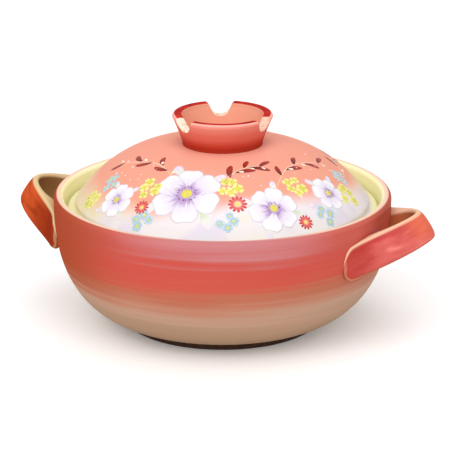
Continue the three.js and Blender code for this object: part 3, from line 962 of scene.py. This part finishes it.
YELLOW_AT = np.array([(4, 68), (-39, 76), (40, 75), (68, 93), (-70, 98), (196, 92)], float)
BLUE_AT = np.array([(2, 95), (-34, 99), (46, 99), (-66, 82), (76, 82), (158, 90)], float)
FLORET_LAYER, HEART_LAYER = 0.05 * mm, 0.12 * mm
HEART_LEAST, HEART_SHARE = 0.3 * mm, 0.36
yellow = scattered(YELLOW_AT, count=5, spread=6.0, length=3.6)
blue = scattered(BLUE_AT, count=4, spread=5.0, length=3.3)
asters = placed((7, 82, 6, 0), (35, 100, 5, 30), (-37, 90, 5, 12), (187, 99, 5, 40))
small = {}
for name, at, outline, petals in (
        ("floret_yellow", yellow, FLORET_PETAL, 4), ("floret_blue", blue, FLORET_PETAL, 4),
        ("aster_red", asters, RAY_PETAL, 12)):
    bearing, run, turn, size = petal_ring(*at, petals)
    tone = np.repeat(brush.uniform(0, 1, len(at[0])), petals)
    small[name] = enamel(name, outline, bearing, run, turn, size, FLORET_LAYER, tone)
hearts_at = [np.concatenate((yellow[k], blue[k], asters[k])) for k in (0, 1, 2)]
hearts = enamel("floret_hearts", DOT, hearts_at[0], hearts_at[1], 0.0,
                HEART_LEAST + hearts_at[2] * HEART_SHARE, HEART_LAYER)

# %% Stems
def stem(start, control, end, count):
    """A bent line from start to end. Angles in degrees from the front, lengths in millimetres down
    from the crown."""
    ends = (np.array(place, float) for place in (start, control, end))
    line = bent(*ends, np.linspace(0, 1, count)[:, None])
    return np.radians(line[:, 0]), line[:, 1] * mm


STEMS = (((-28, 66), (-50, 40), (-80, 70)), ((28, 74), (48, 42), (78, 68)),
         ((-2, 66), (12, 44), (30, 50)), ((82, 86), (98, 64), (116, 86)),
         ((182, 74), (200, 50), (222, 76)), ((168, 74), (150, 52), (130, 78)))
STEM_POINTS, STEM_HALF_WIDTH = 40, 0.3 * mm
paths = [np.stack(line) for line in zip(*(stem(*points, STEM_POINTS) for points in STEMS))]
stems = stroke("sprig_stems", paths[0], paths[1], STEM_HALF_WIDTH)


# %% Leaves, buds and spots
def along_stems(every, first, side, gap):
    """A place beside each stem at every so many steps: turned a little off the stem's own way."""
    pick = slice(first, None, every)
    lean = np.arctan2(-np.gradient(paths[0], axis=1) * wide_at(paths[1]), -np.gradient(paths[1], axis=1))
    turn = lean[:, pick] + side * 0.6
    bearing = paths[0][:, pick] - gap * mm * np.sin(turn) / wide_at(paths[1][:, pick])
    return bearing.ravel(), (paths[1][:, pick] - gap * mm * np.cos(turn)).ravel(), turn.ravel()


LEAF_LAYER, BUD_LAYER, WASH_LAYER = 0.02 * mm, 0.03 * mm, -0.05 * mm
FRONT_SPOTS, BACK_SPOTS = 60, 20
both_sides = [along_stems(every=14, first=first, side=side, gap=6.0)
              for first, side in ((8, 1), (15, -1))]
bearing, run, turn = (np.concatenate(pair) for pair in zip(*both_sides))
dark_leaves = enamel("sprig_leaflets", LEAFLET, bearing, run, turn,
                     brush.uniform(10.5, 14, len(turn)) * mm, LEAF_LAYER, brush.uniform(0, 1, len(turn)))
bearing, run, turn = along_stems(every=11, first=4, side=-1.3, gap=3.2)
buds = enamel("sprig_buds", BUD, bearing, run, turn, brush.uniform(3, 4.4, len(turn)) * mm, BUD_LAYER)
bearing, run, turn, size = petal_ring(*anemones[:3], anemones[3] + 0.5, petals=4, spread=1.12)
wash_leaves = enamel("wash_leaves", WASH_LEAF, bearing, run, turn + brush.uniform(-0.3, 0.3, len(turn)),
                     size * brush.uniform(0.6, 0.85, len(size)), WASH_LAYER,
                     brush.uniform(0, 1, len(size)), FINE)
spot_bearing = np.radians(np.r_[brush.uniform(-78, 82, FRONT_SPOTS),
                                brush.uniform(140, 214, BACK_SPOTS)])
spots = enamel("white_spots", DOT, spot_bearing, brush.uniform(52, 102, len(spot_bearing)) * mm, 0.0,
               brush.uniform(0.7, 1.3, len(spot_bearing)) * mm, LEAF_LAYER)

# %% [markdown]
# ## Enamel colours
# Enamel is laid on wet, so it is thin in the middle of a petal and pools at its edge. Each colour
# therefore runs from the petal's root to its tip, streaks along it, and darkens in a narrow line at
# the edge, all from the values that the patches carry.

# %% Paint the enamel
ENAMEL_GLOSS = {"Coat_Weight": 0.08, "Coat_Roughness": 0.1, "Specular_IOR_Level": 0.25}


def enamel_finish(name, piece, root, body, tip, edge, edge_share=0.5):
    """A petal's colours from root to tip, streaked along its length, with a pooled edge."""
    material, place = new_finish(name, **ENAMEL_GLOSS)
    across, along, tone = (stored(place, key) for key in ("across", "along", "tone"))
    grid = place.add("CombineXYZ", {}, {0: across * 26, 1: along * 2.5, 2: tone * 40})
    streak = grid.noise(1.0, 2.0)
    run = along + 0.5 + streak.sway(0.6) + tone.sway(0.3)
    pooled = stored(place, "reach").ease(0.84, 0.99) * edge_share
    colour = run.ramp((0.12, root), (0.42, body), (0.85, tip))
    dress(material, piece, Base_Color=mix(pooled, colour, edge), Roughness=0.22 + streak * 0.16)


for name, piece, *colours in (
        ("white", white_petals, (184, 152, 196), (228, 220, 235), (242, 238, 241), (186, 172, 200)),
        ("yellow", small["floret_yellow"],
         (184, 190, 84), (228, 220, 104), (240, 232, 156), (190, 182, 90)),
        ("blue", small["floret_blue"],
         (196, 212, 164), (160, 194, 212), (194, 214, 226), (134, 168, 194)),
        ("red", small["aster_red"], (246, 204, 176), (224, 98, 92), (198, 52, 56), (172, 40, 46)),
        ("leaflet", dark_leaves, (98, 16, 14), (142, 28, 22), (168, 50, 36), (92, 14, 12), 0.6),
        ("bud", buds, (240, 204, 164), (250, 232, 208), (254, 244, 230), (222, 174, 140)),
        ("wash", wash_leaves, (206, 214, 184), (224, 224, 216), (226, 214, 234), (198, 196, 196), 0.4)):
    enamel_finish("enamel_" + name, piece, *colours)


def dot_finish(name, piece, low, high):
    """A brushed line or dot: two shades, mixed by fine noise."""
    material, place = new_finish(name, **ENAMEL_GLOSS)
    grain = place.noise(1400.0, 2.0)
    dress(material, piece, Base_Color=grain.ramp((0.35, low), (0.65, high)),
          Roughness=0.25 + grain * 0.2)


for name, piece, low, high in (
        ("stem", stems, (240, 208, 172), (252, 234, 208)),
        ("heart", hearts, (222, 190, 40), (250, 232, 96)),
        ("button", buttons, (196, 186, 70), (238, 222, 104)),
        ("dot", button_dots, (70, 44, 56), (120, 78, 96)),
        ("spot", spots, (250, 246, 248), (255, 253, 254))):
    dot_finish("enamel_" + name, piece, low, high)

# %% [markdown]
# ## Studio
# A pale floor, a broad soft sun from the upper front, two weak softboxes for sheen and an even
# white sky: the pot is shown as in a catalogue, with broad sheens and a faint shadow, which a little
# glow in the floor thins out. The camera is a long lens, a metre and a half away, turned round the pot
# and looking down a little.

# %% Camera
LENS = 182.3
DISTANCE = 1.5
ELEVATION = math.radians(17.78)
AIM = np.array((0.0, 0.0, 63.5 * mm))
AIM_SIDEWAYS = 1.6 * mm


def facing(place, target):
    """A place and turn that look from one point at another, as Blender's matrix."""
    z = place - target
    z = z / np.linalg.norm(z)
    x = np.cross((0, 0, 1), z)
    x = x / np.linalg.norm(x)
    matrix = np.eye(4)
    matrix[:3, :3] = np.stack((x, np.cross(z, x), z), 1)
    matrix[:3, 3] = place
    return matrix.T.tolist()


level_out = math.cos(ELEVATION)
back = np.array((math.sin(FRONT) * level_out, -math.cos(FRONT) * level_out, math.sin(ELEVATION)))
aim = AIM + AIM_SIDEWAYS * np.array((math.cos(FRONT), math.sin(FRONT), 0))
camera = shown("camera", bpy.data.cameras.new("camera"))
camera.data.lens = LENS
camera.matrix_world = facing(aim + back * DISTANCE, aim)
bpy.context.scene.camera = camera
print("camera at", np.round(aim + back * DISTANCE, 3))

# %% Floor
WHITE = (1, 1, 1, 1)
FLOOR_HALF, FLOOR_GLOW = 4, 0.16
floor_corners = [(x * FLOOR_HALF, y * FLOOR_HALF, 0) for x, y in ((-1, -1), (1, -1), (1, 1), (-1, 1))]
floor_mesh = bpy.data.meshes.new("floor")
floor_mesh.from_pydata(floor_corners, [], [(0, 1, 2, 3)])
floor = shown("floor", floor_mesh)
pale, place = new_finish("pale_floor", Roughness=0.6, Emission_Color=WHITE, Emission_Strength=FLOOR_GLOW)
dress(pale, floor, Base_Color=place.noise(3.0).ramp((0.4, (250, 250, 250)), (0.6, (253, 253, 253))))


# %% Lights
def lamp(name, kind, place, **settings):
    """A light that faces the pot."""
    light = bpy.data.lights.new(name, kind)
    for key, value in settings.items():
        setattr(light, key, value)
    shown(name, light).matrix_world = facing(np.array(place), AIM)
    print(name, kind, settings)


lamp("sun", "SUN", (0.25, -0.9, 1.15), energy=1.25, angle=math.radians(70))
lamp("key", "AREA", (-0.3, -1.2, 1.1), shape="RECTANGLE", size=0.7, size_y=0.5, energy=3)
lamp("top", "AREA", (0.1, 0.3, 1.6), shape="RECTANGLE", size=1.2, size_y=1.2, energy=3)
SKY_STRENGTH = 0.66
world = bpy.data.worlds.new("studio")
world.use_nodes = True
sky = world.node_tree.nodes["Background"]
sky.inputs["Color"].default_value = WHITE
sky.inputs["Strength"].default_value = SKY_STRENGTH
bpy.context.scene.world = world
bpy.context.scene.view_settings.view_transform = "Standard"

# %% [markdown]
# ## Riding on the frame
# Each row gives a piece, the body that carries it, a material slot name and the imported node that it
# stands for: the piece rides on that body, and the node is hidden. Enamel stands for no node: it
# simply rides on the lid.

# %% Ride and finish
for piece, body, slot, node in (
        (pot, "pot", "red_glaze", "pot_body"), (foot, "pot", "bare_clay", "foot_ring"),
        (handle_right, "pot", "red_glaze", "handle_right"),
        (handle_left, "pot", "red_glaze", "handle_left"),
        (lid, "lid", "salmon_glaze", "lid_dome"), (knob, "lid", "red_glaze", "lid_knob")):
    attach(piece, body)
    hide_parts(node)
for piece in (white_petals, buttons, button_dots, *small.values(), hearts, stems, dark_leaves, buds,
              wash_leaves, spots):
    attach(piece, "lid")
